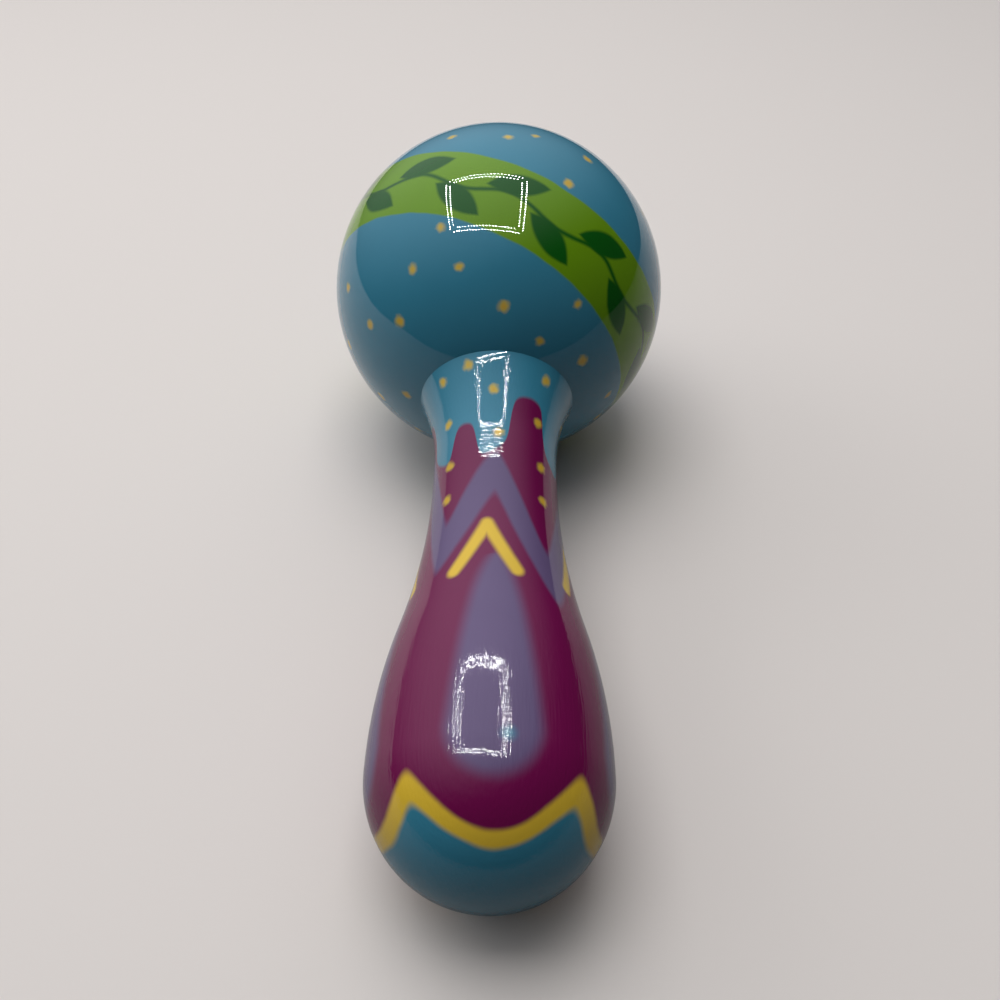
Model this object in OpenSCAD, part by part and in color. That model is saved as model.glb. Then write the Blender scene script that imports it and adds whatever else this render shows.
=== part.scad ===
// Wooden maraca rattle: a hollow ball turned in two halves, a turned handle
// with a tenon glued into the ball, and loose steel pellets inside the ball.
// It lies on its side on the ground, on the ball and on the end of the handle.
// +Z is up, +Y runs from the handle to the ball, and the origin is on the
// ground under the middle of the outline. Units are millimetres.

/* [Head] */
// Diameter of the ball
head_d = 60; // [56:1:64]
// Thickness of the ball's wall
wall = 6; // [5:0.5:7]
// Height of the lip that centres one half of the ball in the other
lip_h = 3; // [2:0.5:4]

/* [Handle] */
// Length from the top of the ball to the end of the handle
overall_l = 140; // [132:1:150]
// Diameter of the round end of the handle
bulb_d = 33.6; // [30:0.2:37]
// Diameter of the straight neck
neck_d = 20; // [18:0.5:21]
// Length of the straight neck
neck_l = 4.4; // [3:0.2:8]
// Distance along the axis from the ball to the straight neck
flare_l = 10.6; // [9:0.2:11]
// Radius of the hollow curve that flares the neck out to the ball
flare_r = 32; // [30:0.5:36]
// Share of the swelling curve, from the neck to the round end, that is full and not hollow
belly_share = 0.44; // [0.35:0.01:0.6]

/* [Joinery] */
// Diameter of the tenon that joins the handle to the ball
tenon_d = 12; // [9:0.5:13]
// Length of the tenon past the inside of the ball's wall
tenon_proud = 1; // [0.5:0.5:2]
// Gap for the glue, on each face of a joint
glue_gap = 0.05; // [0.03:0.01:0.1]

/* [Pellets] */
// Diameter of a pellet
pellet_d = 5; // [4:0.5:5]
// Rings of pellets round the lowest one
pellet_rings = 2; // [1:1:2]
// Gap between neighbouring pellets
pellet_gap = 0.4; // [0.4:0.1:0.8]
// Gap between a pellet and the inside of the ball
pellet_clearance = 0.3; // [0.3:0.05:0.5]

/* [Hidden] */
$fn = 96;
head_r = head_d / 2;
cavity_r = head_r - wall;
// The lip is the inner half of the wall
lip_r = head_r - wall / 2;

// Distances along the axis, from the middle of the ball towards the handle
neck_start = head_r + flare_l;
neck_end = neck_start + neck_l;
bulb_r = bulb_d / 2;
bulb_s = overall_l - head_r - bulb_r;
tenon_r = tenon_d / 2;
tenon_end = sqrt(cavity_r^2 - tenon_r^2) - tenon_proud;

// The hollow waist curve leaves the neck straight and meets the full belly curve
// smoothly: the distance between their centres is the sum of their radii
neck_r = neck_d / 2;
swell = bulb_r - neck_r;
swell_l = bulb_s - neck_end;
swell_radii = (swell_l^2 + swell^2) / (2 * swell);
belly_r = swell_radii * belly_share;
waist_r = swell_radii - belly_r;
turn_angle = asin(swell_l / swell_radii);

// The flare ends where its curve meets the hollow seat, round the middle of
// the ball: the law of cosines gives the angles of that rim
seat_r = head_r + glue_gap;
flare_out = neck_r + flare_r;
flare_far = sqrt(flare_out^2 + neck_start^2);
flare_aim = atan2(neck_start, flare_out);
rim_seat_angle = flare_aim + acos((seat_r^2 + flare_far^2 - flare_r^2) / (2 * seat_r * flare_far));
rim_flare_angle = flare_aim - acos((flare_r^2 + flare_far^2 - seat_r^2) / (2 * flare_r * flare_far));
tenon_seat_angle = acos(tenon_r / seat_r);

// Points along an arc, without its first, which the stretch before it ends on
arc_step = 3;
function arc(centre, r, from, to) =
    let (steps = ceil(abs(to - from) / arc_step))
    [for (i = [1 : steps]) let (a = from + (to - from) * i / steps) centre + r * [cos(a), sin(a)]];

// Right half of the handle in section, from the round end up to the tenon
handle_outline = concat(
    [[0, -bulb_s - bulb_r]],
    arc([0, -bulb_s], bulb_r, -90, 0),
    arc([bulb_r - belly_r, -bulb_s], belly_r, 0, turn_angle),
    arc([neck_r + waist_r, -neck_end], waist_r, 180 + turn_angle, 180),
    [[neck_r, -neck_start]],
    arc([flare_out, -neck_start], flare_r, 180, 180 - rim_flare_angle),
    arc([0, 0], seat_r, -rim_seat_angle, -tenon_seat_angle),
    [[tenon_r, -tenon_end], [0, -tenon_end]]
);

// Lying on the ground, the ball and the round end both touch it
tilt = asin((head_r - bulb_r) / bulb_s);
head_y = (bulb_s * cos(tilt) + bulb_r - head_r) / 2;
head_centre = [0, head_y, head_r];

// The pellets lie in rings at the bottom of the hollow
pellet_r = pellet_d / 2;
pellet_pitch = pellet_d + pellet_gap;
pellet_path_r = cavity_r - pellet_r - pellet_clearance;
function corner(side) = [cos(60 * side), sin(60 * side)];
function ring_place(ring, i) =
    let (side = floor(i / ring), share = i % ring)
    pellet_pitch * ((ring - share) * corner(side) + share * corner(side + 1));
pellet_plan = concat(
    [[0, 0]],
    [for (ring = [1 : pellet_rings]) for (i = [0 : 6 * ring - 1]) ring_place(ring, i)]
);
function two_digits(n) = n < 10 ? str("0", n) : str(n);
pellet_names = [for (i = [1 : len(pellet_plan)]) str("pellet_", two_digits(i))];

// The lathe axis is local Z, with the middle of the ball at its origin and
// the handle below it. This lays the turned pieces on the ground.
module lay_down() {
    translate(head_centre) rotate([tilt - 90, 0, 0]) children();
}

// Right half of the ball's wall in section
module wall_section() {
    difference() {
        circle(head_r);
        circle(cavity_r);
        translate([-head_r, -head_r]) square([head_r, head_d]);
    }
}

// Far half of the ball, with a step that takes the lip of the other half
module head_front_shell() {
    color("#3f9fc0") lay_down() rotate_extrude() difference() {
        wall_section();
        translate([0, -head_r]) square([head_r, head_r]);
        square([lip_r + glue_gap, lip_h + glue_gap]);
    }
}

// Near half of the ball, with its lip and the hole for the tenon
module head_rear_shell() {
    color("#3b97b8") lay_down() rotate_extrude() difference() {
        union() {
            difference() {
                wall_section();
                square(head_r);
            }
            difference() {
                square([lip_r, lip_h]);
                circle(cavity_r);
            }
        }
        translate([0, -head_r]) square([tenon_r + glue_gap, head_r]);
    }
}

// Turned handle, with the tenon in one piece with it
module handle() {
    color("#8c2a63") lay_down() rotate_extrude() polygon(handle_outline);
}

// One loose pellet, at rest at the bottom of the hollow
module pellet(place) {
    drop = sqrt(pellet_path_r^2 - place * place);
    color("silver") translate(head_centre + [place.x, place.y, -drop]) sphere(d = pellet_d);
}

head_front_shell();
head_rear_shell();
handle();
for (i = [0 : len(pellet_names) - 1])
    pellet(pellet_plan[i]);
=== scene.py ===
"""Looks of a wooden maraca rattle: a lacquered ball on a turned handle, with steel pellets inside.

The ball's two halves and the handle are turned on one lathe axis, so each is an outline carried
round that axis. Sizes are in millimetres from the middle of the ball, with the axis along Z and
the handle below, until Turning.lay_down puts them into the frame's metres. The painted ornament is
worked out in the same lathe coordinates.
"""
import logging
import math
from collections.abc import Mapping, Sequence
from dataclasses import dataclass, field
from enum import Enum, IntEnum
from functools import reduce
from typing import TypeAlias

import bpy
import numpy as np
from mathutils import Matrix, Vector


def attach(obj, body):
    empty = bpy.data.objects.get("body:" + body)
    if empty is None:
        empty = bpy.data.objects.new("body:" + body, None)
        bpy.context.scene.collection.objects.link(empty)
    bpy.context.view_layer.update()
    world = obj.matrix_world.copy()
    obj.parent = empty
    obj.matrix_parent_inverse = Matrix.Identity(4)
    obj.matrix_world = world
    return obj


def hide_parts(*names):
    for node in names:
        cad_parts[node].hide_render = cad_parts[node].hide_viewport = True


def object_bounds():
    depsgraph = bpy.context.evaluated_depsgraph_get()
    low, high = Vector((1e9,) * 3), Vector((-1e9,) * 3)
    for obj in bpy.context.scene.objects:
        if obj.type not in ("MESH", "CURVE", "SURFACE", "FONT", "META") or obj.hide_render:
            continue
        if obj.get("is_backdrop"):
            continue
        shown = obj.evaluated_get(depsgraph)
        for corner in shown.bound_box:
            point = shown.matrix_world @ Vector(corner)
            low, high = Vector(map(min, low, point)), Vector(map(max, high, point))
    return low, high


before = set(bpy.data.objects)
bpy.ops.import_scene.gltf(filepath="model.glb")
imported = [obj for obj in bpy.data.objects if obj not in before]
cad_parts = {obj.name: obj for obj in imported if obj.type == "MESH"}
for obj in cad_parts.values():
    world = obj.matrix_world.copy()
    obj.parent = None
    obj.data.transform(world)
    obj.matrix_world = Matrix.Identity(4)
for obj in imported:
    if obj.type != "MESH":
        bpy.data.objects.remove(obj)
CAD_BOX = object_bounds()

log = logging.getLogger("maraca")

MM = 0.001
# Points of an outline closer than this, in millimetres, are one point
WELD = 1e-5
GOLDEN_ANGLE = math.pi * (3 - math.sqrt(5))
# Numbers of the Mix node's sockets for colours
MIX_BELOW = 6
MIX_ABOVE = 7
MIX_RESULT = 2

Colour: TypeAlias = tuple[float, float, float]
Place: TypeAlias = tuple[float, float, float]
Value: TypeAlias = "Wire | float"
Paint: TypeAlias = "Wire | Colour"
Options: TypeAlias = Mapping[int | str, object] | None


class Surface(IntEnum):
    """What a stretch of an outline is finished with, as the number of its material slot."""

    PAINTED = 0
    BARE = 1


class Slot(Enum):
    """The record's material slots."""

    HEAD = "head_paint"
    HANDLE = "handle_paint"
    PELLET = "pellet_steel"


@dataclass(frozen=True)
class Wire:
    """A value in a node tree. A sum on wires adds Math nodes to the tree."""

    sheet: "NodeSheet"
    socket: bpy.types.NodeSocket

    def math(self, operation: str, *others: Value) -> "Wire":
        """Add a Math node that takes this value first."""
        return self.sheet.math(operation, self, *others)

    def __add__(self, other: Value) -> "Wire":
        """Sum of two values."""
        return self.math("ADD", other)

    __radd__ = __add__

    def __sub__(self, other: Value) -> "Wire":
        """This value less the other."""
        return self.math("SUBTRACT", other)

    def __rsub__(self, other: float) -> "Wire":
        """A number less this value."""
        return self.sheet.math("SUBTRACT", other, self)

    def __mul__(self, other: Value) -> "Wire":
        """Product of two values."""
        return self.math("MULTIPLY", other)

    __rmul__ = __mul__

    def __truediv__(self, other: Value) -> "Wire":
        """This value over the other."""
        return self.math("DIVIDE", other)

    def __rtruediv__(self, other: float) -> "Wire":
        """A number over this value."""
        return self.sheet.math("DIVIDE", other, self)

    def __pow__(self, power: float) -> "Wire":
        """This value to a power."""
        return self.math("POWER", power)

    def __neg__(self) -> "Wire":
        """This value with its sign turned."""
        return self * -1.0

    def __abs__(self) -> "Wire":
        """This value without its sign."""
        return self.math("ABSOLUTE")

    def least(self, other: Value) -> "Wire":
        """The smaller of two values."""
        return self.math("MINIMUM", other)

    def most(self, other: Value) -> "Wire":
        """The larger of two values."""
        return self.math("MAXIMUM", other)

    def share(self) -> "Wire":
        """This value, held between 0 and 1."""
        return self.most(0.0).least(1.0)

    def hypot(self, other: "Wire") -> "Wire":
        """Length of a line that goes as far as one value one way, and as far as the other square to it."""
        return (self * self + other * other).math("SQRT")


class NodeSheet:
    """A node tree that expressions fill."""

    def __init__(self, tree: bpy.types.NodeTree) -> None:
        """Start from an empty tree."""
        self.tree = tree
        tree.nodes.clear()

    def add(self, kind: str, settings: Options = None, sockets: Options = None) -> bpy.types.Node:
        """Add one node.

        Args:
            kind: Type name of the node.
            settings: The node's own attributes, which are set first.
            sockets: Wires to link and values to set, by number or name of the input.

        Returns:
            The node.
        """
        made = self.tree.nodes.new(kind)
        for name, value in (settings or {}).items():
            setattr(made, name, value)
        for key, value in (sockets or {}).items():
            socket = made.inputs[key]
            if isinstance(value, Wire):
                self.tree.links.new(value.socket, socket)
            else:
                socket.default_value = (*value, 1.0) if socket.type == "RGBA" else value
        return made

    def node(self, kind: str, settings: Options = None, sockets: Options = None,
             output: int | str = 0) -> Wire:
        """Add one node, and take the wire of one of its outputs."""
        return Wire(self, self.add(kind, settings, sockets).outputs[output])

    def math(self, operation: str, *values: Value) -> Wire:
        """Add a Math node."""
        return self.node("ShaderNodeMath", {"operation": operation}, dict(enumerate(values)))

    def vector_math(self, operation: str, *vectors: Wire | Sequence[float], output: str = "Vector") -> Wire:
        """Add a Vector Math node."""
        return self.node("ShaderNodeVectorMath", {"operation": operation}, dict(enumerate(vectors)), output)

    def dot(self, vector: Wire, fixed: Sequence[float]) -> Wire:
        """Product of a vector and a fixed direction."""
        return self.vector_math("DOT_PRODUCT", vector, fixed, output="Value")

    def distance(self, vector: Wire, fixed: Sequence[float]) -> Wire:
        """Distance from a vector to a fixed point."""
        return self.vector_math("DISTANCE", vector, fixed, output="Value")

    def split(self, vector: Wire) -> list[Wire]:
        """The three parts of a vector."""
        return [Wire(self, part) for part in self.add("ShaderNodeSeparateXYZ", sockets={0: vector}).outputs]

    def spot(self) -> Wire:
        """Object coordinates, in metres."""
        return self.node("ShaderNodeTexCoord", output="Object")

    def seen(self) -> Wire:
        """1 where the camera looks straight at it, and 0 where it is mirrored or lights something."""
        return self.node("ShaderNodeLightPath", output="Is Camera Ray")

    def noise(self, where: Wire, length: float, detail: float) -> Wire:
        """Cloudy value from 0 to 1, with clouds of about this length."""
        sockets = {"Vector": where, "Scale": 1 / length, "Detail": detail}
        return self.node("ShaderNodeTexNoise", sockets=sockets)

    def sway(self, where: Wire, length: float, detail: float) -> Wire:
        """Cloudy value from -0.5 to 0.5, with clouds of about this length."""
        return self.noise(where, length, detail) - 0.5

    def wave(self, along: Wire, length: float) -> Wire:
        """Sine wave of this length."""
        return (along * (2 * math.pi / length)).math("SINE")

    def rise(self, value: Wire, start: float, end: float) -> Wire:
        """Mask that goes smoothly from 0 at the start to 1 at the end."""
        sockets = {"Value": value, "From Min": start, "From Max": end}
        return self.node("ShaderNodeMapRange", {"interpolation_type": "SMOOTHSTEP"}, sockets)

    def inside(self, distance: Wire, blur: float) -> Wire:
        """Mask that is 1 where a signed distance is below zero, with an edge as soft as blur."""
        return self.rise(distance, blur / 2, -blur / 2)

    def mix(self, mask: Value, below: Paint, above: Paint, blend: str = "MIX") -> Wire:
        """Lay one colour over another: a mask of 0 shows the lower colour, and 1 the upper one."""
        settings = {"data_type": "RGBA", "blend_type": blend}
        return self.node("ShaderNodeMix", settings, {0: mask, MIX_BELOW: below, MIX_ABOVE: above}, MIX_RESULT)

    def paint(self, ground: Paint, colour: Colour, edge: Wire, blur: float, cover: float = 1.0) -> Wire:
        """Cover a share of the ground with paint where the distance from the paint's edge is negative."""
        return self.mix(cover * self.inside(edge, blur), ground, colour)

    def relief(self, height: Wire, strength: float = 1.0) -> Wire:
        """Normal of a surface with heights in millimetres."""
        return self.node("ShaderNodeBump", sockets={"Strength": strength, "Distance": MM, "Height": height})

    def skin(self, colour: Wire, roughness: Value, normal: Wire, others: Options = None) -> Wire:
        """Add a surface shader, with its other inputs by name."""
        sockets = {"Base Color": colour, "Roughness": roughness, "Normal": normal, **(others or {})}
        return self.node("ShaderNodeBsdfPrincipled", sockets=sockets)

    def close(self, shader: Wire, kind: str = "ShaderNodeOutputMaterial") -> None:
        """Link a shader to the tree's output."""
        self.add(kind, sockets={"Surface": shader})


def new_material(name: str) -> tuple[bpy.types.Material, NodeSheet]:
    """Make a material with an empty node tree.

    Args:
        name: Name of the material.

    Returns:
        The material and its sheet.
    """
    material = bpy.data.materials.new(name)
    material.use_nodes = True
    return material, NodeSheet(material.node_tree)


def add_object(name: str, data: bpy.types.ID, hidden_from: Sequence[str] = ()) -> bpy.types.Object:
    """Put a mesh, a lamp or a camera into the scene.

    Args:
        name: Name of the object.
        data: What it shows.
        hidden_from: Kinds of rays that don't see it.

    Returns:
        The object.
    """
    made = bpy.data.objects.new(name, data)
    for rays in hidden_from:
        setattr(made, f"visible_{rays}", False)
    bpy.context.scene.collection.objects.link(made)
    return made


@dataclass(frozen=True)
class Turning:
    """Driving sizes of the turned pieces, in millimetres, and the places that follow from them.

    Distances along the axis run from the middle of the ball towards the handle.
    """

    head_r: float = 30.0
    wall: float = 6.0
    lip_h: float = 3.0
    overall_l: float = 140.0
    bulb_r: float = 16.8
    neck_r: float = 10.0
    neck_l: float = 4.4
    flare_l: float = 10.6
    flare_r: float = 32.0
    belly_share: float = 0.44
    tenon_r: float = 6.0
    tenon_proud: float = 1.0
    glue_gap: float = 0.05

    @property
    def cavity_r(self) -> float:
        """Radius of the hollow in the ball."""
        return self.head_r - self.wall

    @property
    def lip_r(self) -> float:
        """Outer radius of the lip, halfway through the wall."""
        return self.head_r - self.wall / 2

    @property
    def bulb_s(self) -> float:
        """Distance to the middle of the handle's round end."""
        return self.overall_l - self.head_r - self.bulb_r

    @property
    def neck_start(self) -> float:
        """Distance to the ball's end of the neck."""
        return self.head_r + self.flare_l

    @property
    def neck_end(self) -> float:
        """Distance to the belly's end of the neck."""
        return self.neck_start + self.neck_l

    @property
    def tenon_end(self) -> float:
        """Distance to the end of the tenon."""
        return math.sqrt(self.cavity_r ** 2 - self.tenon_r ** 2) - self.tenon_proud

    @property
    def tilt(self) -> float:
        """Angle of the axis to the ground, in radians, as the ball and the round end both touch it."""
        return math.asin((self.head_r - self.bulb_r) / self.bulb_s)

    @property
    def turned(self) -> np.ndarray:
        """Rotation about X from the lathe's axes to the frame's.

        Returns:
            The rotation's matrix.
        """
        lean = self.tilt - math.pi / 2
        cos = math.cos(lean)
        sin = math.sin(lean)
        return np.array([[1.0, 0.0, 0.0], [0.0, cos, -sin], [0.0, sin, cos]])

    @property
    def head_centre(self) -> np.ndarray:
        """Middle of the ball in the frame, in millimetres, with the whole length about the origin."""
        back = (self.bulb_s * math.cos(self.tilt) + self.bulb_r - self.head_r) / 2
        return np.array([0.0, back, self.head_r])

    def lay_down(self, points: np.ndarray) -> np.ndarray:
        """Carry points, one a row, from lathe millimetres to the frame's metres."""
        return (points @ self.turned.T + self.head_centre) * MM

    def place(self, sheet: NodeSheet) -> Wire:
        """Carry a material's Object coordinates back to lathe millimetres.

        Args:
            sheet: The material's sheet.

        Returns:
            A vector: X to the right, Y down and Z towards the far side of the ball.
        """
        sockets = {
            "Vector": sheet.spot(),
            "Location": tuple(-self.turned.T @ self.head_centre),
            "Rotation": (math.pi / 2 - self.tilt, 0.0, 0.0),
            "Scale": (1 / MM,) * 3,
        }
        return sheet.node("ShaderNodeMapping", {"vector_type": "POINT"}, sockets)


@dataclass(frozen=True)
class Stretch:
    """One smooth stretch of an outline: radius and height of each point, its normals and its surface."""

    points: np.ndarray
    normals: np.ndarray
    surface: Surface


def arc(centre: tuple[float, float], radius: float, start: float, end: float, surface: Surface,
        step: float = 1.5) -> Stretch:
    """Round stretch of an outline: centre + radius (cos a, sin a), for a from start to end.

    The wood is on the left of the way, so the normal points away from the centre where the angle
    grows, and towards it where the angle falls.

    Args:
        centre: Radius and height of the arc's centre.
        radius: Radius of the arc.
        start: First angle, in degrees.
        end: Last angle, in degrees.
        surface: What the stretch is finished with.
        step: Largest angle between two points, in degrees.

    Returns:
        The stretch.
    """
    count = math.ceil(abs(end - start) / step) + 1
    angle = np.radians(np.linspace(start, end, max(count, 2)))
    away = np.column_stack([np.cos(angle), np.sin(angle)])
    return Stretch(np.array(centre) + radius * away, math.copysign(1.0, end - start) * away, surface)


def straight(start: tuple[float, float], end: tuple[float, float], surface: Surface) -> Stretch:
    """Straight stretch of an outline, with its normal on the right of the way.

    Args:
        start: Radius and height of the first point.
        end: Radius and height of the last point.
        surface: What the stretch is finished with.

    Returns:
        The stretch.
    """
    points = np.array([start, end])
    way = (points[1] - points[0]) / np.linalg.norm(points[1] - points[0])
    normal = np.array([way[1], -way[0]])
    return Stretch(points, np.vstack([normal, normal]), surface)


def revolve(name: str, outline: Sequence[Stretch], turning: Turning, around: int = 256) -> bpy.types.Object:
    """Carry an outline round the lathe axis.

    A point at radius r and height h goes to (r sin t, -r cos t, h) for every turn t. Points that
    stretches share are welded and a point on the axis stays single, so the mesh is closed. Every
    corner keeps the normal of its own stretch: round stretches are smooth and creases are crisp.

    Args:
        name: Name of the piece.
        outline: Stretches of the outline, with the wood on the left of the way.
        turning: The lathe that lays the piece down.
        around: Number of faces round the axis.

    Returns:
        The piece, with each face's surface as its material slot.
    """
    points = np.vstack([part.points for part in outline])
    normals = np.vstack([part.normals for part in outline])
    grid, rim_of = np.unique(np.round(points / WELD).astype(np.int64), axis=0, return_inverse=True)
    rim_of = rim_of.ravel()
    rims = grid * WELD
    on_axis = grid[:, 0] == 0
    counts = np.where(on_axis, 1, around)
    first = np.cumsum(counts) - counts
    turn_number = np.arange(counts.sum()) - np.repeat(first, counts)
    turns = 2 * np.pi * turn_number / around
    radius = np.repeat(rims[:, 0], counts)
    height = np.repeat(rims[:, 1], counts)
    vertices = np.column_stack([radius * np.sin(turns), -radius * np.cos(turns), height])

    lengths = np.array([len(part.points) for part in outline])
    lower = np.delete(np.arange(len(points)), np.cumsum(lengths) - 1)
    surface = np.repeat([int(part.surface) for part in outline], lengths - 1)
    now = np.arange(around)

    # The axes of these arrays are the outline's segments, the turns and the corners of a face
    point = np.column_stack([lower, lower, lower + 1, lower + 1])[:, None]
    turn = np.column_stack([now, now + 1, now + 1, now])[None]
    rim = rim_of[point]
    corners = first[rim] + np.where(on_axis[rim], 0, turn % around)
    angle = 2 * np.pi * turn / around
    out, rise = np.moveaxis(normals[point], -1, 0)
    facings = np.stack([out * np.sin(angle), -out * np.cos(angle), rise + 0 * angle], axis=-1)
    facings = facings @ turning.turned.T
    starts_on_axis = on_axis[rim_of[lower]]
    ends_on_axis = on_axis[rim_of[lower + 1]]
    kinds = [
        (~starts_on_axis & ~ends_on_axis, [0, 1, 2, 3]),
        (starts_on_axis & ~ends_on_axis, [0, 2, 3]),
        (~starts_on_axis & ends_on_axis, [0, 1, 2]),
    ]
    faces = []
    corner_normals = []
    slots = []
    for chosen, kept in kinds:
        faces += corners[chosen][..., kept].reshape(-1, len(kept)).tolist()
        corner_normals.append(facings[chosen][..., kept, :].reshape(-1, 3))
        slots.append(np.repeat(surface[chosen], around))

    mesh = bpy.data.meshes.new(name)
    mesh.from_pydata(turning.lay_down(vertices).tolist(), [], faces, shade_flat=False)
    mesh.polygons.foreach_set("material_index", np.concatenate(slots).astype(np.int32))
    mesh.normals_split_custom_set(np.vstack(corner_normals).tolist())
    mesh.update()
    return add_object(name, mesh)


@dataclass(frozen=True)
class Palette:
    """Paint colours, as linear light."""

    turquoise: Colour = (0.039, 0.214, 0.320)
    lime: Colour = (0.133, 0.287, 0.005)
    leaf_green: Colour = (0.003, 0.088, 0.005)
    magenta: Colour = (0.152, 0.004, 0.064)
    lilac: Colour = (0.124, 0.085, 0.190)
    yellow: Colour = (0.720, 0.480, 0.040)
    dot_yellow: Colour = (0.660, 0.480, 0.045)
    amber: Colour = (0.700, 0.370, 0.020)


@dataclass(frozen=True)
class Lacquer:
    """Clear gloss over paint: nearly smooth, with a slow wave, faint smears and a little grain.

    Runs are distances from the middle of the ball along the axis. The grain of the wood, which
    runs along the axis, shows through on the flare and on the grip, which handling has dulled.
    Fine rings from the lathe show at the neck.
    """

    roughness: float = 0.012
    grip_roughness: float = 0.06
    grip_from: float = 52.0
    grip_to: float = 82.0
    smear: float = 0.05
    ior: float = 1.5
    wave_l: float = 11.0
    wave_h: float = 0.008
    grain_l: float = 0.4
    grain_draw: float = 0.08
    grain_h: float = 0.0002
    worn_grain_h: float = 0.03
    worn_from: float = 66.0
    worn_to: float = 90.0
    flare_grain_h: float = 0.022
    flare_run: float = 32.5
    flare_span: float = 8.0
    flare_fade: float = 3.0
    ring_l: float = 0.85
    ring_h: float = 0.0020
    ring_run: float = 43.0
    ring_span: float = 7.0
    ring_fade: float = 2.0
    ring_wander: float = 0.3
    ring_wander_l: float = 2.0
    mottle: float = 0.10
    mottle_l: float = 7.0

    def dress(self, sheet: NodeSheet, where: Wire, colour: Wire) -> None:
        """Finish a painted material.

        Args:
            sheet: The material's sheet.
            where: Lathe coordinates.
            colour: The paint's colour.
        """
        run = -sheet.split(where)[2]
        mottle = 1.0 + self.mottle * sheet.sway(where, self.mottle_l, detail=4.0)
        shade = sheet.mix(1.0, colour, mottle, "MULTIPLY")
        dulled = sheet.rise(run, self.grip_from, self.grip_to)
        smears = sheet.sway(where, self.mottle_l, detail=5.0).most(0.0)
        roughness = self.roughness + (self.grip_roughness - self.roughness) * dulled + self.smear * smears

        wave = self.wave_h * sheet.noise(where, self.wave_l, detail=0.0)
        worn = sheet.rise(run, self.worn_from, self.worn_to)
        on_flare = sheet.inside(abs(run - self.flare_run) - self.flare_span / 2, self.flare_fade)
        grain_h = self.grain_h + self.worn_grain_h * worn + self.flare_grain_h * on_flare
        drawn = sheet.vector_math("MULTIPLY", where, (1.0, 1.0, self.grain_draw))
        grain = grain_h * sheet.noise(drawn, self.grain_l, detail=1.0)
        at_neck = sheet.inside(abs(run - self.ring_run) - self.ring_span / 2, self.ring_fade)
        along = run + self.ring_wander * sheet.noise(where, self.ring_wander_l, detail=1.0)
        rings = self.ring_h * at_neck * sheet.wave(along, self.ring_l)
        sheet.close(sheet.skin(shade, roughness, sheet.relief(wave + grain + rings), {"IOR": self.ior}))


@dataclass(frozen=True)
class BareWood:
    """Pale turned wood inside the ball and in the joints: growth rings, pores and tool lines."""

    early: Colour = (0.62, 0.43, 0.25)
    late: Colour = (0.46, 0.28, 0.14)
    ring_l: float = 2.6
    ring_early: float = 0.62
    ring_blur: float = 0.5
    ring_drift: float = 3.0
    ring_drift_l: float = 33.33
    pith: tuple[float, float] = (58.0, 21.0)
    pore_l: float = 0.5
    pore_draw: float = 0.08
    pore_h: float = 0.02
    pore_shade: float = 0.36
    pore_roughness: float = 0.2
    tool_l: float = 0.6
    tool_h: float = 0.006
    roughness: float = 0.62

    def material(self, turning: Turning) -> bpy.types.Material:
        """Make the material: rings lie round a pith beside the lathe axis, which the grain follows.

        Args:
            turning: The lathe that the wood was turned on.

        Returns:
            The material.
        """
        material, sheet = new_material("bare_turned_wood")
        where = turning.place(sheet)
        x, y, z = sheet.split(where)
        from_pith = (x - self.pith[0]).hypot(y - self.pith[1])
        drift = self.ring_drift * sheet.noise(where, self.ring_drift_l, detail=2.0)
        ring = ((from_pith + drift) / self.ring_l).math("FRACT")
        colour = sheet.paint(self.early, self.late, self.ring_early - ring, self.ring_blur)
        drawn = sheet.vector_math("MULTIPLY", where, (1.0, 1.0, self.pore_draw))
        pores = sheet.sway(drawn, self.pore_l, detail=2.0)
        colour = sheet.mix(1.0, colour, 1.0 + self.pore_shade * pores, "MULTIPLY")
        roughness = self.roughness + self.pore_roughness * pores
        height = self.tool_h * sheet.wave(z, self.tool_l) + self.pore_h * pores
        sheet.close(sheet.skin(colour, roughness, sheet.relief(height)))
        return material


@dataclass(frozen=True)
class PelletSteel:
    """Tumbled steel shot: bright, with small dents and dull patches."""

    colour: Colour = (0.56, 0.57, 0.58)
    dull_colour: Colour = (0.40, 0.40, 0.41)
    roughness: float = 0.22
    patch_l: float = 1.6
    patch_from: float = 0.4
    patch_roughness: float = 0.3
    dent_l: float = 0.5
    dent_h: float = 0.012

    def material(self) -> bpy.types.Material:
        """Make the material.

        Returns:
            The material, in Object coordinates.
        """
        material, sheet = new_material("tumbled_steel")
        where = sheet.vector_math("MULTIPLY", sheet.spot(), (1 / MM,) * 3)
        patches = sheet.noise(where, self.patch_l, detail=4.0)
        colour = sheet.mix(patches, self.colour, self.dull_colour)
        roughness = self.roughness + self.patch_roughness * (patches - self.patch_from).most(0.0)
        dents = self.dent_h * sheet.noise(where, self.dent_l, detail=2.0)
        sheet.close(sheet.skin(colour, roughness, sheet.relief(dents), {"Metallic": 1.0}))
        return material


@dataclass(frozen=True)
class Dots:
    """Soft ragged dots of thin paint: yellow with an amber heart, over a ground that shows through."""

    radius: float = 0.80
    blur: float = 0.9
    cover: float = 0.8
    heart: float = 0.45
    heart_share: float = 0.6
    ragged: float = 0.7
    ragged_l: float = 0.9

    def lay(self, sheet: NodeSheet, where: Wire, ground: Wire, distance: Wire, palette: Palette) -> Wire:
        """Paint dots over a ground.

        Args:
            sheet: The material's sheet.
            where: Lathe coordinates.
            ground: The colour under the dots.
            distance: Distance in millimetres from the edge of the nearest dot, negative inside it.
            palette: The paints.

        Returns:
            The colour with its dots.
        """
        edge = distance + self.ragged * sheet.sway(where, self.ragged_l, detail=1.0)
        colour = sheet.paint(ground, palette.dot_yellow, edge, self.blur, self.cover)
        return sheet.paint(colour, palette.amber, edge + self.heart, self.blur, self.heart_share)


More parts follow.
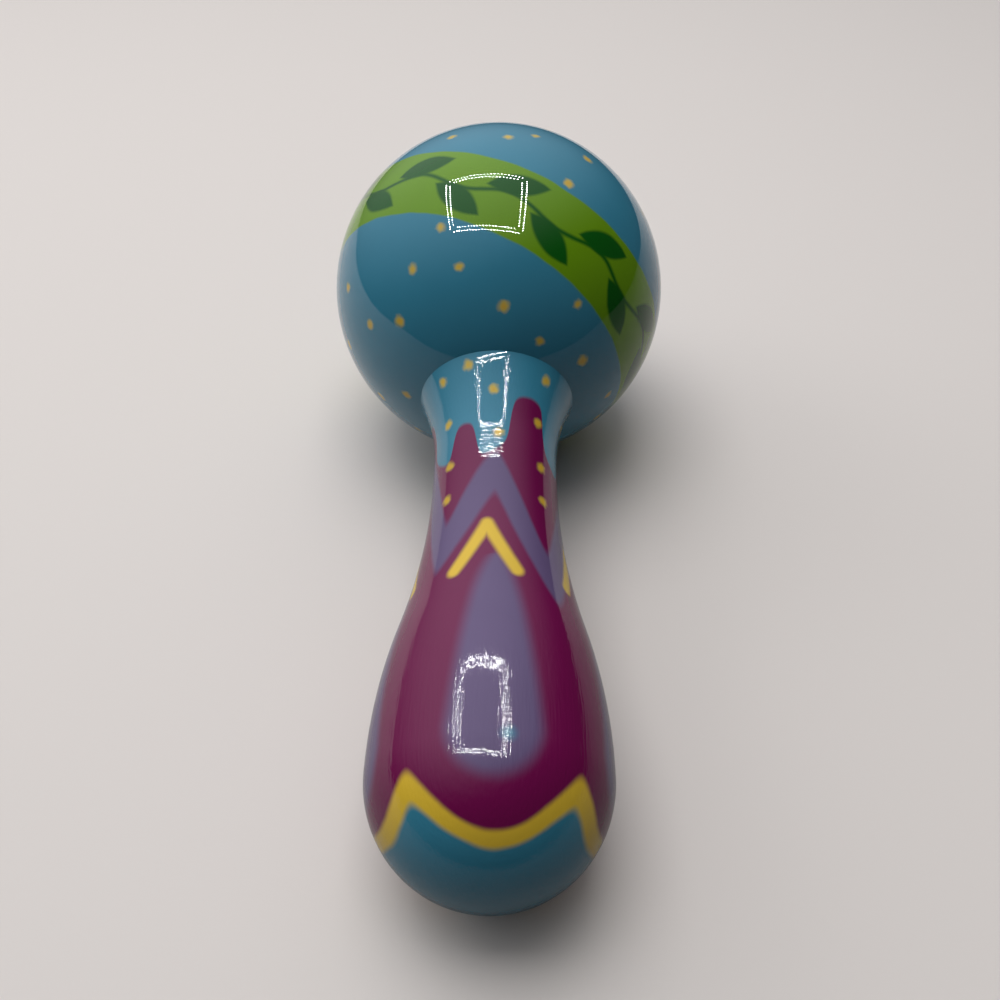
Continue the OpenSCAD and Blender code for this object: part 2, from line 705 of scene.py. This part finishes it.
@dataclass(frozen=True)
class BallPaint:
    """Turquoise ball with a leafy lime sash and scattered dots.

    The sash is an even band round the ball, tilted against the axis and moved towards the handle.
    A stem waves along it, with a leaf on either side in turn.
    """

    palette: Palette = Palette()
    lacquer: Lacquer = Lacquer()
    dots: Dots = Dots()
    sash_half: float = 6.6
    sash_tilt: float = 24.0
    sash_low_turn: float = 75.0
    sash_shift: float = 4.2
    sash_blur: float = 0.5
    leaf_pairs: int = 11
    leaf_half_l: float = 5.2
    leaf_half_w: float = 2.1
    leaf_off: float = 2.9
    leaf_lean: float = 22.0
    leaf_blur: float = 0.8
    stem_half: float = 0.38
    stem_wave: float = 0.9
    dots_on_whole_ball: int = 124
    dot_seed: int = 11
    dot_stray: float = 0.11
    dot_sizes: tuple[float, ...] = (0.66, 0.76, 0.88)
    dot_last_polar: float = 150.0
    dot_room: float = 1.6
    dot_apart: float = 5.0
    edge_wander: float = 0.5
    edge_wander_l: float = 4.545

    @property
    def sash_axes(self) -> np.ndarray:
        """Axes of the sash.

        Returns:
            Three unit vectors in rows: two along the sash and one square to its plane.
        """
        tilt = math.radians(self.sash_tilt)
        turn = math.radians(self.sash_low_turn)
        low = np.array([math.sin(turn), -math.cos(turn), 0.0])
        axis = np.array([0.0, 0.0, 1.0])
        pole = math.sin(tilt) * low + math.cos(tilt) * axis
        along = np.cross(axis, low)
        return np.array([along, np.cross(pole, along), pole])

    def dot_places(self, head_r: float) -> np.ndarray:
        """Scatter the dots.

        They follow a golden-angle spiral, which spreads them evenly over a ball: dot i of n has its
        height at 1 - 2 (i + 0.5) / n and turns on by the golden angle. Each then strays a little,
        and those that would touch the sash or the handle, or crowd another dot, are left out.

        Args:
            head_r: Radius of the ball.

        Returns:
            Middles of the dots in lathe millimetres.
        """
        number = np.arange(self.dots_on_whole_ball)
        height = 1 - 2 * (number + 0.5) / self.dots_on_whole_ball
        turn = number * GOLDEN_ANGLE
        flat = np.sqrt(1 - height ** 2)
        aim = np.column_stack([flat * np.sin(turn), -flat * np.cos(turn), height])
        aim += np.random.default_rng(self.dot_seed).uniform(-self.dot_stray, self.dot_stray, aim.shape)
        aim /= np.linalg.norm(aim, axis=1, keepdims=True)
        across = head_r * np.arcsin(aim @ self.sash_axes[2]) + self.sash_shift
        clear = np.abs(across) > self.sash_half + self.dot_room
        clear &= aim[:, 2] > math.cos(math.radians(self.dot_last_polar))
        kept = []
        for place in head_r * aim[clear]:
            if all(np.linalg.norm(place - other) > self.dot_apart for other in kept):
                kept.append(place)
        return np.array(kept)

    def leaf(self, along: Wire, across: Wire, lean: float) -> Wire:
        """Shape one row of leaves: a lens whose half width falls off as 1 - (x / half length) squared.

        Args:
            along: Millimetres along the sash from the middle of the nearest leaf.
            across: Millimetres across the sash from the middle of the row.
            lean: Angle of the leaf to the sash, in radians.

        Returns:
            Signed distance from the leaf's edge.
        """
        x = along * math.cos(lean) + across * math.sin(lean)
        y = abs(across * math.cos(lean) - along * math.sin(lean))
        share = x / self.leaf_half_l
        return y - self.leaf_half_w * (1.0 - share * share)

    def material(self, turning: Turning) -> bpy.types.Material:
        """Make the painted material of the ball.

        Args:
            turning: Sizes of the ball.

        Returns:
            The material.
        """
        material, sheet = new_material("ball_paint")
        palette = self.palette
        where = turning.place(sheet)
        aim = sheet.vector_math("NORMALIZE", where)
        first, second, pole = self.sash_axes
        wander = self.edge_wander * sheet.sway(where, self.edge_wander_l, detail=1.0)
        across = turning.head_r * sheet.dot(aim, pole).math("ARCSINE") + self.sash_shift + wander
        turn = sheet.dot(aim, second).math("ARCTAN2", sheet.dot(aim, first))

        colour = sheet.paint(palette.turquoise, palette.lime, abs(across) - self.sash_half, self.sash_blur)
        stem = across - self.stem_wave * (turn * self.leaf_pairs).math("SINE")
        colour = sheet.paint(colour, palette.leaf_green, abs(stem) - self.stem_half, self.leaf_blur)
        pitch = 2 * math.pi * turning.head_r / self.leaf_pairs
        count = turn * (self.leaf_pairs / (2 * math.pi))
        for side in (1.0, -1.0):
            # A leaf grows from each crest of the stem, a quarter of the pitch from where it crosses over
            crest = side / 4
            along = ((count + (0.5 - crest)).math("FRACT") - 0.5) * pitch
            edge = self.leaf(along, across - side * self.leaf_off, side * math.radians(self.leaf_lean))
            colour = sheet.paint(colour, palette.leaf_green, edge, self.leaf_blur)

        places = self.dot_places(turning.head_r)
        gaps = []
        for number, size in enumerate(self.dot_sizes):
            reaches = [sheet.distance(where, tuple(place)) for place in places[number::len(self.dot_sizes)]]
            gaps.append(reduce(Wire.least, reaches) - size)
        colour = self.dots.lay(sheet, where, colour, reduce(Wire.least, gaps), palette)
        self.lacquer.dress(sheet, where, colour)
        log.info("ball paint: %d dots, %d pairs of leaves", len(places), self.leaf_pairs)
        return material


@dataclass(frozen=True)
class DotRow:
    """A ring of evenly spaced dots round the handle."""

    run: float
    count: int
    first_turn: float


@dataclass(frozen=True)
class HandleSpot:
    """Where a point of the handle lies: run, turn in radians, the turn drawn out on top, and radius."""

    run: Wire
    turn: Wire
    drawn_turn: Wire
    radius: Wire


@dataclass(frozen=True)
class HandlePaint:
    """Ornament of the handle, which repeats round the axis.

    Run is the distance in millimetres from the middle of the ball along the axis. A turn is an
    angle in degrees round the axis, from the top to the right. From the ball to the round end
    there are: a turquoise flare with a fingered edge, a lilac zigzag band, yellow chevrons, lilac
    petals, all on magenta, and a yellow scalloped line round a turquoise end. The repeats on top
    are a little wider than those below.
    """

    palette: Palette = Palette()
    lacquer: Lacquer = Lacquer()
    dots: Dots = Dots()
    repeats: int = 5
    uneven: float = 0.13
    fingers: int = 6
    finger_turn: float = 1.0
    finger_run: float = 40.4
    finger_half: float = 4.5
    finger_square: float = 0.15
    finger_step: float = 2.3
    finger_widen: float = 0.4
    finger_blur: float = 1.0
    zigzag_turn: float = 1.0
    zigzag_top: float = 44.6
    zigzag_top_fall: float = 16.6
    zigzag_foot: float = 52.4
    zigzag_foot_fall: float = 18.0
    zigzag_sharp: float = 0.985
    zigzag_bow: float = 1.25
    zigzag_lean: float = 4.4
    zigzag_blur: float = 2.4
    chevron_turn: float = -4.0
    chevron_run: float = 59.2
    chevron_drop: float = 8.6
    chevron_reach: float = 20.5
    line_half: float = 0.95
    line_blur: float = 1.0
    petal_turn: float = 2.0
    petal_tip: float = 65.0
    petal_end: float = 98.2
    petal_half: float = 6.2
    petal_swell: float = 0.5
    petal_blur: float = 2.6
    scallop_turn: float = 3.0
    scallop_half: float = 1.15
    scallop_down: float = 12.6
    scallop_rise: float = 8.0
    scallop_sharp: float = 0.97
    scallop_bow: float = 2.2
    scallop_ease: float = 3.0
    fleck_turn: float = 8.5
    fleck_run: float = 93.2
    fleck_radius: float = 0.9
    fleck_blur: float = 1.4
    fleck_cover: float = 0.7
    edge_wander: float = 0.7
    edge_wander_l: float = 6.25
    dot_rows: tuple[DotRow, ...] = (
        DotRow(28.9, 3, -22.0),
        DotRow(29.8, 4, 43.0),
        DotRow(33.4, 4, -2.0),
        DotRow(37.6, 4, 42.0),
        DotRow(41.5, 4, 3.0),
        DotRow(46.2, 4, 46.0),
        DotRow(52.8, 4, 46.0),
    )

    def material(self, turning: Turning) -> bpy.types.Material:
        """Make the painted material of the handle, coat by coat.

        Args:
            turning: Sizes of the handle.

        Returns:
            The material.
        """
        material, sheet = new_material("handle_paint")
        palette = self.palette
        where = turning.place(sheet)
        x, y, z = sheet.split(where)
        run = self.edge_wander * sheet.sway(where, self.edge_wander_l, detail=2.0) - z
        turn = x.math("ARCTAN2", -y)
        spot = HandleSpot(run, turn, turn - self.uneven * turn.math("SINE"), x.hypot(y))
        scallops = self.scallops(spot, turning)
        coats = (
            (palette.lilac, self.petals(spot), self.petal_blur),
            (palette.lilac, self.zigzag(spot), self.zigzag_blur),
            (palette.yellow, self.chevrons(spot), self.line_blur),
            (palette.turquoise, -scallops, self.line_blur),
            (palette.yellow, abs(scallops) - self.scallop_half, self.line_blur),
            (palette.turquoise, self.flare_edge(spot), self.finger_blur),
        )
        colour = palette.magenta
        for coat in coats:
            colour = sheet.paint(colour, *coat)
        colour = self.dots.lay(sheet, where, colour, self.dot_rings(spot), palette)
        colour = sheet.paint(colour, palette.turquoise, self.fleck(spot), self.fleck_blur, self.fleck_cover)
        self.lacquer.dress(sheet, where, colour)
        return material

    def off(self, spot: HandleSpot, middle: float) -> Wire:
        """Way round from the middle of the nearest repeat, in millimetres. The repeat on top is at middle."""
        angle = (spot.drawn_turn - math.radians(middle)).math("PINGPONG", math.pi / self.repeats)
        return angle / (1 - self.uneven) * spot.radius

    def swing(self, spot: HandleSpot, middle: float, sharp: float) -> Wire:
        """Zigzag from 0 in the middle of a repeat to 1 at its edge, with round corners: acos(k cos a) / pi.

        Args:
            spot: The point.
            middle: Turn of the middle of one repeat.
            sharp: The factor k, which at 1 would leave the corners sharp.

        Returns:
            The zigzag.
        """
        angle = (spot.drawn_turn - math.radians(middle)) * self.repeats
        return (sharp * angle.math("COSINE")).math("ARCCOSINE") / math.pi

    def petals(self, spot: HandleSpot) -> Wire:
        """Edge of the petals: a round foot, and above it a half width that narrows to the tip.

        Args:
            spot: The point.

        Returns:
            Signed distance from the edge.
        """
        foot = self.petal_end - self.petal_half
        share = ((spot.run - self.petal_tip) / (foot - self.petal_tip)).share()
        half = self.petal_half * share ** self.petal_swell
        below = (spot.run - foot).most(0.0)
        above = (self.petal_tip - spot.run).most(0.0)
        return self.off(spot, self.petal_turn).hypot(below) - half + above

    def zigzag(self, spot: HandleSpot) -> Wire:
        """Edge of a band between two zigzags, of which the upper has bowed peaks. It leans down to the right.

        Args:
            spot: The point.

        Returns:
            Signed distance from the edge.
        """
        swing = self.swing(spot, self.zigzag_turn, self.zigzag_sharp)
        level = spot.run - self.zigzag_lean * spot.drawn_turn.math("SINE")
        top = self.zigzag_top + self.zigzag_top_fall * swing ** self.zigzag_bow
        foot = self.zigzag_foot + self.zigzag_foot_fall * swing
        return (top - level).most(level - foot)

    def chevrons(self, spot: HandleSpot) -> Wire:
        """Edge of the chevrons: two straight strokes from a peak, with round ends.

        Args:
            spot: The point.

        Returns:
            Signed distance from the edge.
        """
        reach = math.radians(self.chevron_reach) * spot.radius
        drop = self.chevron_drop
        off = self.off(spot, self.chevron_turn)
        down = spot.run - self.chevron_run
        along = ((off * reach + down * drop) / (reach * reach + drop ** 2)).share()
        return (off - along * reach).hypot(down - along * drop) - self.line_half

    def scallops(self, spot: HandleSpot, turning: Turning) -> Wire:
        """Middle of a line of scallops, which hang between blunt cusps, less at the sides.

        They are measured over the round end, from where it is widest.

        Args:
            spot: The point.
            turning: Sizes of the handle.

        Returns:
            Signed distance from the middle of the line, negative above it.
        """
        swing = self.swing(spot, self.scallop_turn, self.scallop_sharp)
        bowed = swing ** self.scallop_bow
        aside = spot.drawn_turn.math("SINE")
        eased = self.scallop_ease * aside * aside * (1.0 - bowed)
        level = self.scallop_down - self.scallop_rise * bowed - eased
        polar = ((spot.run - turning.bulb_s) / turning.bulb_r).least(1.0).math("ARCSINE")
        slope = swing * (2 * self.scallop_rise / (turning.bulb_r * math.pi / self.repeats))
        return (turning.bulb_r * polar - level) / (1.0 + slope * slope).math("SQRT")

    def flare_edge(self, spot: HandleSpot) -> Wire:
        """Fingered edge of the flare: a squared-off cosine, with long wide and short slim fingers in turn.

        Args:
            spot: The point.

        Returns:
            Signed distance along the axis from the edge.
        """
        angle = (spot.turn - math.radians(self.finger_turn)) * self.fingers
        in_turn = (angle / 2.0).math("SINE")
        wave = angle.math("COSINE") - self.finger_widen * in_turn
        squared = wave / (wave * wave + self.finger_square).math("SQRT")
        return spot.run - self.finger_run - self.finger_half * squared + self.finger_step * in_turn

    def dot_rings(self, spot: HandleSpot) -> Wire:
        """Edge of the dots, which lie in rings round the handle.

        Args:
            spot: The point.

        Returns:
            Signed distance from the edge of the nearest dot.
        """
        gaps = []
        for row in self.dot_rows:
            angle = (spot.turn - math.radians(row.first_turn)).math("PINGPONG", math.pi / row.count)
            gaps.append((spot.radius * angle).hypot(spot.run - row.run))
        return reduce(Wire.least, gaps) - self.dots.radius

    def fleck(self, spot: HandleSpot) -> Wire:
        """Signed distance from the edge of one stray fleck on a petal."""
        off = spot.radius * (spot.turn - math.radians(self.fleck_turn))
        return off.hypot(spot.run - self.fleck_run) - self.fleck_radius


def dress_piece(piece: bpy.types.Object, materials: Sequence[bpy.types.Material], node: str,
                slot: Slot) -> None:
    """Give a turned piece its materials and put it in the place of its CAD node.

    Args:
        piece: The piece.
        materials: Its materials, in the order of Surface.
        node: The CAD node that it stands for.
        slot: The record's slot of its finish. Not used.
    """
    for material in materials:
        piece.data.materials.append(material)
    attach(piece, "rattle")
    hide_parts(node)
    log.info("%s: %d faces, in place of %s", piece.name, len(piece.data.polygons), node)


@dataclass
class Head:
    """The ball: two turned cups that meet in a lipped seam under the paint."""

    turning: Turning
    paint: BallPaint = field(default_factory=BallPaint)
    wood: BareWood = field(default_factory=BareWood)

    def front_outline(self) -> list[Stretch]:
        """Section of the far cup.

        Returns:
            The stretches: outside, hollow, and the step that takes the lip.
        """
        size = self.turning
        step_r = size.lip_r + size.glue_gap
        step_h = size.lip_h + size.glue_gap
        hollow_end = math.asin(step_h / size.cavity_r)
        hollow_rim = (size.cavity_r * math.cos(hollow_end), step_h)
        return [
            arc((0, 0), size.head_r, 0, 90, Surface.PAINTED),
            arc((0, 0), size.cavity_r, 90, math.degrees(hollow_end), Surface.BARE),
            straight(hollow_rim, (step_r, step_h), Surface.BARE),
            straight((step_r, step_h), (step_r, 0), Surface.BARE),
            straight((step_r, 0), (size.head_r, 0), Surface.BARE),
        ]

    def rear_outline(self) -> list[Stretch]:
        """Section of the near cup.

        Returns:
            The stretches: seam, lip, hollow, the hole for the tenon, and outside.
        """
        size = self.turning
        hole_r = size.tenon_r + size.glue_gap
        lip_end = math.asin(size.lip_h / size.cavity_r)
        lip_rim = (size.cavity_r * math.cos(lip_end), size.lip_h)
        hole_in = -math.acos(hole_r / size.cavity_r)
        hole_out = -math.acos(hole_r / size.head_r)
        hole_in_rim = (hole_r, size.cavity_r * math.sin(hole_in))
        hole_out_rim = (hole_r, size.head_r * math.sin(hole_out))
        return [
            straight((size.head_r, 0), (size.lip_r, 0), Surface.BARE),
            straight((size.lip_r, 0), (size.lip_r, size.lip_h), Surface.BARE),
            straight((size.lip_r, size.lip_h), lip_rim, Surface.BARE),
            arc((0, 0), size.cavity_r, math.degrees(lip_end), math.degrees(hole_in), Surface.BARE),
            straight(hole_in_rim, hole_out_rim, Surface.BARE),
            arc((0, 0), size.head_r, math.degrees(hole_out), 0, Surface.PAINTED),
        ]

    def build(self) -> None:
        """Make both cups and dress them in paint outside and bare wood inside."""
        materials = (self.paint.material(self.turning), self.wood.material(self.turning))
        outlines = {
            "ball_front_cup": (self.front_outline(), "head_front_shell"),
            "ball_rear_cup": (self.rear_outline(), "head_rear_shell"),
        }
        for name, (outline, node) in outlines.items():
            dress_piece(revolve(name, outline, self.turning), materials, node, Slot.HEAD)


@dataclass
class Handle:
    """The turned handle, in one piece with its tenon."""

    turning: Turning
    paint: HandlePaint = field(default_factory=HandlePaint)
    wood: BareWood = field(default_factory=BareWood)

    def outline(self) -> list[Stretch]:
        """Section of the handle: round end, belly, waist, neck, flare, seat on the ball, and tenon.

        The waist leaves the neck straight and meets the belly smoothly, so the distance between
        their centres is the sum of their radii. The flare ends where its arc meets the seat, at
        angles that the law of cosines gives.

        Returns:
            The stretches, from the round end to the end of the tenon.
        """
        size = self.turning
        swell = size.bulb_r - size.neck_r
        swell_l = size.bulb_s - size.neck_end
        radii = (swell_l ** 2 + swell ** 2) / (2 * swell)
        belly_r = radii * size.belly_share
        waist_r = radii - belly_r
        swing = math.degrees(math.asin(swell_l / radii))

        seat_r = size.head_r + size.glue_gap
        flare_out = size.neck_r + size.flare_r
        far = math.hypot(flare_out, size.neck_start)
        aim = math.atan2(size.neck_start, flare_out)
        seat_cos = (seat_r ** 2 + far ** 2 - size.flare_r ** 2) / (2 * seat_r * far)
        flare_cos = (size.flare_r ** 2 + far ** 2 - seat_r ** 2) / (2 * size.flare_r * far)
        rim_on_seat = math.degrees(aim + math.acos(seat_cos))
        rim_on_flare = math.degrees(aim - math.acos(flare_cos))
        tenon_on_seat = math.degrees(math.acos(size.tenon_r / seat_r))
        tenon_foot = (size.tenon_r, -seat_r * math.sin(math.radians(tenon_on_seat)))
        tenon_edge = (size.tenon_r, -size.tenon_end)
        return [
            arc((0, -size.bulb_s), size.bulb_r, -90, 0, Surface.PAINTED),
            arc((size.bulb_r - belly_r, -size.bulb_s), belly_r, 0, swing, Surface.PAINTED),
            arc((size.neck_r + waist_r, -size.neck_end), waist_r, 180 + swing, 180, Surface.PAINTED),
            straight((size.neck_r, -size.neck_end), (size.neck_r, -size.neck_start), Surface.PAINTED),
            arc((flare_out, -size.neck_start), size.flare_r, 180, 180 - rim_on_flare, Surface.PAINTED),
            arc((0, 0), seat_r, -rim_on_seat, -tenon_on_seat, Surface.BARE),
            straight(tenon_foot, tenon_edge, Surface.BARE),
            straight(tenon_edge, (0, -size.tenon_end), Surface.BARE),
        ]

    def build(self) -> None:
        """Make the handle and dress it in paint, with bare wood on its seat and tenon."""
        materials = (self.paint.material(self.turning), self.wood.material(self.turning))
        dress_piece(revolve("turned_handle", self.outline(), self.turning), materials, "handle", Slot.HANDLE)


@dataclass
class Pellets:
    """The loose steel pellets, whose CAD shapes stay."""

    steel: PelletSteel = field(default_factory=PelletSteel)
    prefix: str = "pellet_"

    def build(self) -> None:
        """Dress every pellet in steel."""
        material = self.steel.material()
        names = sorted(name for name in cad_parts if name.startswith(self.prefix))
        for name in names:
            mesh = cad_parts[name].data
            mesh.materials.clear()
            mesh.materials.append(material)
        log.info("%d pellets in %s", len(names), Slot.PELLET.value)


@dataclass
class Studio:
    """Pale floor, a double ring of small lamps overhead, a room that is bright on one side, and the camera.

    The floor is small, and an apron carries it on for the camera. Places are in millimetres in the
    frame, and angles in degrees.
    """

    camera_at: Place = (2.1, -117.07, 139.8)
    camera_down: float = 46.73
    camera_yaw: float = -0.67
    camera_roll: float = 0.06
    camera_near: float = 10.0
    focal_px: float = 1000.0
    image_px: float = 1000.0
    sensor: float = 36.0
    floor_low: tuple[float, float] = (-330.0, -150.0)
    floor_high: tuple[float, float] = (560.0, 290.0)
    floor_colour: Colour = (0.74, 0.69, 0.66)
    floor_roughness: float = 0.7
    floor_far_share: float = 0.36
    floor_fade: float = 260.0
    tooth_l: float = 1.5
    tooth_h: float = 0.05
    tooth_strength: float = 0.4
    apron_half: float = 4000.0
    apron_from: float = 330.0
    apron_to: float = 800.0
    dim_side: Colour = (0.022, 0.022, 0.024)
    bright_side: Colour = (1.20, 1.22, 1.25)
    bright_aim: Place = (-0.309, 0.510, 0.803)
    bright_from: float = 0.20
    bright_to: float = 1.30
    backdrop: Colour = (0.70, 0.67, 0.645)
    ring_centre: Place = (-83.0, 114.0, 600.0)
    ring_size: tuple[float, float] = (445.0, 410.0)
    ring_skew: float = -0.10
    row_gap: float = 28.0
    corner_gap: float = 26.0
    chip_pitch: float = 19.0
    chip_w: float = 5.6
    chip_radiance: float = 200.0
    overhead_radiance: float = 3.5
    side_lamp_at: Place = (-480.0, 190.0, 330.0)
    side_lamp_w: float = 300.0
    side_lamp_radiance: float = 1.3

    def build(self) -> None:
        """Make the floor, the lamps, the room and the camera."""
        self.lay_floor()
        self.hang_lamps()
        self.light_surround()
        self.set_camera()
        bpy.context.scene.view_settings.view_transform = "Standard"

    def stage_mesh(self, name: str, points: np.ndarray, faces: list[list[int]],
                   material: bpy.types.Material, hidden_from: Sequence[str] = ()) -> None:
        """Put a mesh on the stage.

        Args:
            name: Name of the object.
            points: Its points in millimetres, one a row.
            faces: Numbers of each face's points.
            material: Its material.
            hidden_from: Kinds of rays that don't see it.
        """
        mesh = bpy.data.meshes.new(name)
        mesh.from_pydata((points * MM).tolist(), [], faces)
        mesh.materials.append(material)
        staged = add_object(name, mesh, hidden_from)
        staged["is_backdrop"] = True

    def lay_floor(self) -> None:
        """Lay the floor, and round it an apron that only the camera sees."""
        (left, near), (right, far) = self.floor_low, self.floor_high
        inner = np.array([[left, near, 0], [right, near, 0], [right, far, 0], [left, far, 0]])
        outer = np.array([[-1, -1, 0], [1, -1, 0], [1, 1, 0], [-1, 1, 0]]) * self.apron_half
        here = np.arange(len(inner))
        following = np.roll(here, -1)
        sides = np.column_stack([here, here + len(inner), following + len(inner), following])
        material = self.card()
        self.stage_mesh("floor", inner, [here.tolist()], material)
        points = np.vstack([inner, outer])
        self.stage_mesh("apron", points, sides.tolist(), material, ("diffuse", "glossy", "shadow"))

    def card(self) -> bpy.types.Material:
        """Make the floor's material: smooth pale card, with a faint tooth.

        The camera sees it evenly pale, and far off it fades to the backdrop. In the lacquer and as
        bounced light it carries painted shade: its colour darkens away from the room's bright side.

        Returns:
            The material.
        """
        material, sheet = new_material("pale_card")
        material.cycles.emission_sampling = "NONE"
        spot = sheet.spot()
        seen = sheet.seen()
        level_aim = np.array(self.bright_aim) * (1.0, 1.0, 0.0)
        away = -sheet.dot(spot, tuple(level_aim / np.linalg.norm(level_aim)))
        # Painted shade: for reflections and bounced light the floor's colour falls to a share of itself away
        # from the room's bright side
        painted_shade_colour = tuple(self.floor_far_share * part for part in self.floor_colour)
        colour = sheet.paint(painted_shade_colour, self.floor_colour, away, self.floor_fade * MM)
        colour = sheet.mix(seen, colour, self.floor_colour)
        tooth = self.tooth_h * sheet.noise(spot, self.tooth_l * MM, detail=3.0)
        relief = sheet.relief(tooth, self.tooth_strength)
        pale = sheet.skin(colour, self.floor_roughness, relief, {"Specular IOR Level": 0.0})
        glow = sheet.node("ShaderNodeEmission", sockets={"Color": self.backdrop, "Strength": 1.0})
        from_middle = sheet.distance(spot, (0.0, 0.0, 0.0))
        far_off = sheet.rise(from_middle, self.apron_from * MM, self.apron_to * MM)
        sheet.close(sheet.node("ShaderNodeMixShader", sockets={0: far_off * seen, 1: pale, 2: glow}))
        return material

    def hang_lamps(self) -> None:
        """Hang a double oblong ring of small bright chips overhead, and two soft lamps.

        The chips show only in the lacquer. A soft lamp as large as their ring gives their light,
        and another is on the room's bright side.
        """
        rows = []
        for grow in (self.row_gap, -self.row_gap):
            half = (np.array(self.ring_size) + grow) / 2
            for axis in range(2):
                reach = half[axis] - self.corner_gap
                count = round(2 * reach / self.chip_pitch) + 1
                for side in (-1, 1):
                    row = np.zeros((count, 3))
                    row[:, axis] = np.linspace(-reach, reach, count)
                    row[:, 1 - axis] = side * half[1 - axis]
                    rows.append(row)
        middles = np.vstack(rows)
        middles[:, 1] += self.ring_skew * middles[:, 0]
        middles += self.ring_centre
        corners = np.array([[-1, -1, 0], [-1, 1, 0], [1, 1, 0], [1, -1, 0]]) * self.chip_w / 2
        points = (middles[:, None] + corners).reshape(-1, 3)
        faces = np.arange(len(points)).reshape(-1, len(corners)).tolist()
        material, sheet = new_material("lamp_glow")
        sheet.close(sheet.node("ShaderNodeEmission", sockets={"Strength": self.chip_radiance}))
        self.stage_mesh("lamp_chips", points, faces, material, ("camera", "diffuse"))

        overhead = Vector(self.ring_centre)
        self.soft_lamp("overhead_lamp", overhead, Vector((0, 0, 1)), self.ring_size, self.overhead_radiance)
        beside = Vector(self.side_lamp_at)
        self.soft_lamp("side_lamp", beside, beside, (self.side_lamp_w,) * 2, self.side_lamp_radiance)

    def soft_lamp(self, name: str, place: Vector, back: Vector, size: tuple[float, float],
                  radiance: float) -> None:
        """Hang an oblong lamp that doesn't show in the lacquer.

        Args:
            name: Name of the lamp.
            place: Its middle.
            back: The way its back faces.
            size: Its width and height.
            radiance: Its brightness.
        """
        lamp = bpy.data.lights.new(name, "AREA")
        lamp.shape = "RECTANGLE"
        lamp.size = size[0] * MM
        lamp.size_y = size[1] * MM
        lamp.energy = radiance * math.pi * lamp.size * lamp.size_y
        hung = add_object(name, lamp, ("camera", "glossy"))
        hung.matrix_world = Matrix.Translation(place * MM) @ back.to_track_quat("Z", "Y").to_matrix().to_4x4()

    def light_surround(self) -> None:
        """Light the room, which is bright on one side and which the camera sees as a pale backdrop."""
        world = bpy.data.worlds.new("surround")
        world.use_nodes = True
        sheet = NodeSheet(world.node_tree)
        aim = sheet.node("ShaderNodeTexCoord", output="Generated")
        bright = sheet.rise(sheet.dot(aim, self.bright_aim), self.bright_from, self.bright_to)
        colour = sheet.mix(bright, self.dim_side, self.bright_side)
        colour = sheet.mix(sheet.seen(), colour, self.backdrop)
        shader = sheet.node("ShaderNodeBackground", sockets={"Color": colour, "Strength": 1.0})
        sheet.close(shader, "ShaderNodeOutputWorld")
        bpy.context.scene.world = world

    def set_camera(self) -> None:
        """Set the camera by its place, its pitch, its yaw and its roll."""
        down, yaw, roll = np.radians([self.camera_down, self.camera_yaw, self.camera_roll])
        ahead = np.array([np.sin(yaw) * np.cos(down), np.cos(yaw) * np.cos(down), -np.sin(down)])
        right = np.cross(ahead, [0.0, 0.0, 1.0])
        right /= np.linalg.norm(right)
        up = np.cross(right, ahead)
        axes = np.column_stack([np.cos(roll) * right + np.sin(roll) * up,
                                np.cos(roll) * up - np.sin(roll) * right, -ahead])
        camera = bpy.data.cameras.new("camera")
        camera.sensor_width = self.sensor
        camera.lens = self.sensor * self.focal_px / self.image_px
        camera.clip_start = self.camera_near * MM
        placed = add_object("camera", camera)
        at = np.array(self.camera_at) * MM
        placed.matrix_world = Matrix.Translation(at) @ Matrix(axes.tolist()).to_4x4()
        bpy.context.scene.camera = placed


def write_sizes() -> None:
    """Gather the CAD model's box and the visual model's box as plain lists."""
    boxes = {"cad": CAD_BOX, "visual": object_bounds()}
    plain = {name: [list(corner) for corner in box] for name, box in boxes.items()}


def main() -> None:
    """Build the studio and the rattle."""
    logging.basicConfig(level=logging.INFO, format="%(name)s: %(message)s")
    turning = Turning()
    Studio().build()
    Head(turning).build()
    Handle(turning).build()
    Pellets().build()
    write_sizes()


if __name__ == "__main__":
    main()
